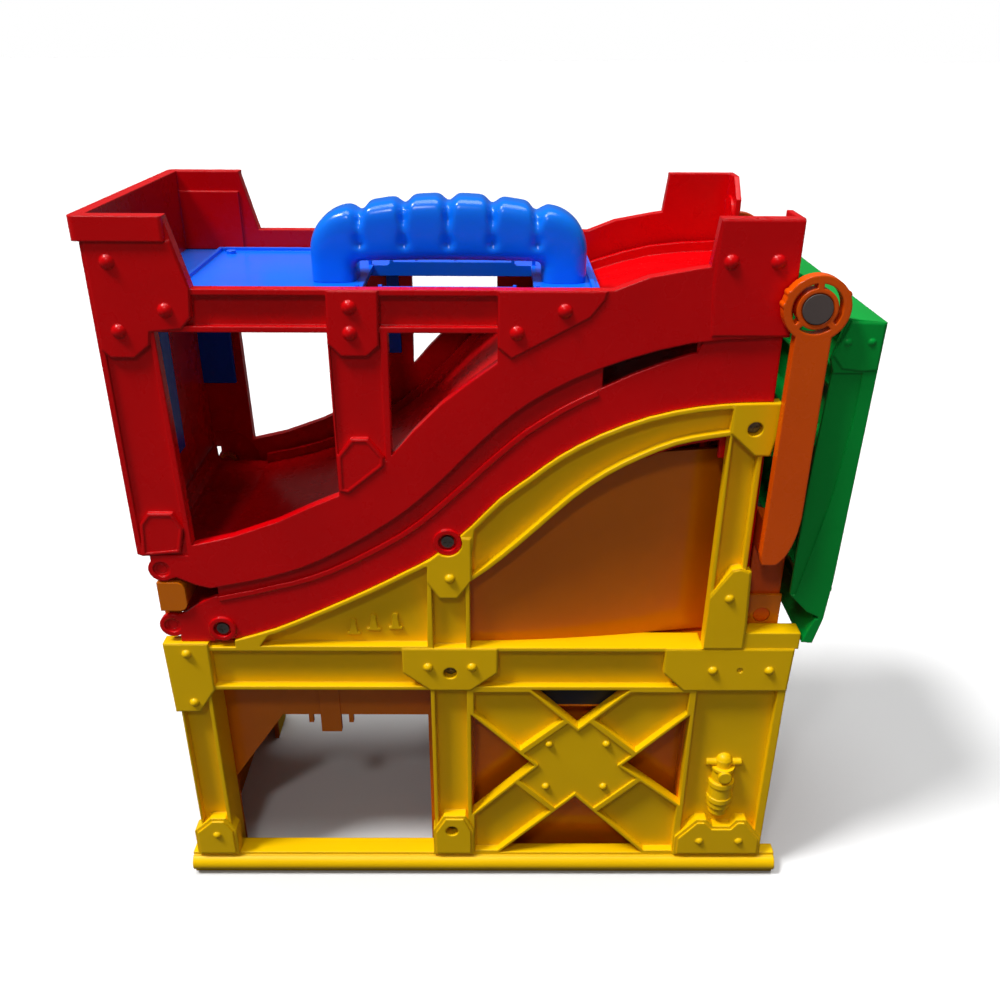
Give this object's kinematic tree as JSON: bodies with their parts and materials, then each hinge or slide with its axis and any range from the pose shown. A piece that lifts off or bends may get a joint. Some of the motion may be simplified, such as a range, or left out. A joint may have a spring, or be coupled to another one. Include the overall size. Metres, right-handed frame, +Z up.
{
  "type": "toy parking garage",
  "caption": "Toy parking garage with a folding drive ramp, open bays, an upper deck with a carry handle and a swing lift with a hanging platform.",
  "frame": {"origin": "on the floor, under the middle of the closed garage's bounding box", "axes": "+Z up, +X to the right seen from the front, +Y from the front to the rear"},
  "size_m": [0.405, 0.179, 0.434],
  "materials": {
    "yellow_plastic": "smooth moulded, glossy",
    "orange_plastic": "smooth moulded, glossy",
    "red_plastic": "smooth moulded, glossy",
    "blue_plastic": "smooth moulded, glossy",
    "navy_plastic": "smooth moulded, satin",
    "green_plastic": "smooth moulded, glossy",
    "grey_plastic": "satin moulded",
    "steel": "plated screws"
  },
  "bodies": {
    "base": {"front_frame": "yellow_plastic", "rear_frame": "yellow_plastic", "core_front": "orange_plastic", "core_rear": "orange_plastic", "ramp_lower": "red_plastic", "bay_panels": "navy_plastic", "fold_pins_lower": "red_plastic", "frame_screws_front": "steel", "frame_screws_rear": "steel", "ramp_screws": "steel"},
    "link": {"fold_link": "orange_plastic"},
    "upper": {"upper_shell": "red_plastic", "upper_ramp": "red_plastic", "deck": "blue_plastic", "handle": "blue_plastic", "handle_screws": "steel", "fold_pins_upper": "red_plastic"},
    "lift_arms": {"lift_arm_front": "orange_plastic", "lift_arm_rear": "orange_plastic", "lift_shaft": "grey_plastic"},
    "axle": {"lift_axle": "grey_plastic", "axle_caps": "grey_plastic"},
    "platform": {"lift_tray": "green_plastic"}
  },
  "joints": [
    {"name": "fold_lower", "type": "hinge", "parent": "base", "child": "link", "pos_m": [-0.1864, 0, 0.1975], "axis": [0, -1, 0], "range_deg": [0, 90]},
    {"name": "fold_upper", "type": "hinge", "parent": "link", "child": "upper", "pos_m": [-0.1864, 0, 0.237], "axis": [0, -1, 0], "range_deg": [0, 90]},
    {"name": "lift_swing", "type": "hinge", "parent": "base", "child": "lift_arms", "pos_m": [0.1645, 0, 0.2], "axis": [0, 1, 0], "range_deg": [0, 135]},
    {"name": "axle_turn", "type": "hinge", "parent": "lift_arms", "child": "axle", "pos_m": [0.163, 0, 0.392], "axis": [0, 1, 0], "range_deg": [-202.5, 0]},
    {"name": "tray_tilt", "type": "hinge", "parent": "axle", "child": "platform", "pos_m": [0.163, 0, 0.392], "axis": [0, -1, 0], "range_deg": [0, 110]}
  ],
  "couplings": [
    {"joint": "fold_upper", "follows": "fold_lower", "ratio": 1},
    {"joint": "axle_turn", "follows": "lift_swing", "ratio": -1.5}
  ]
}
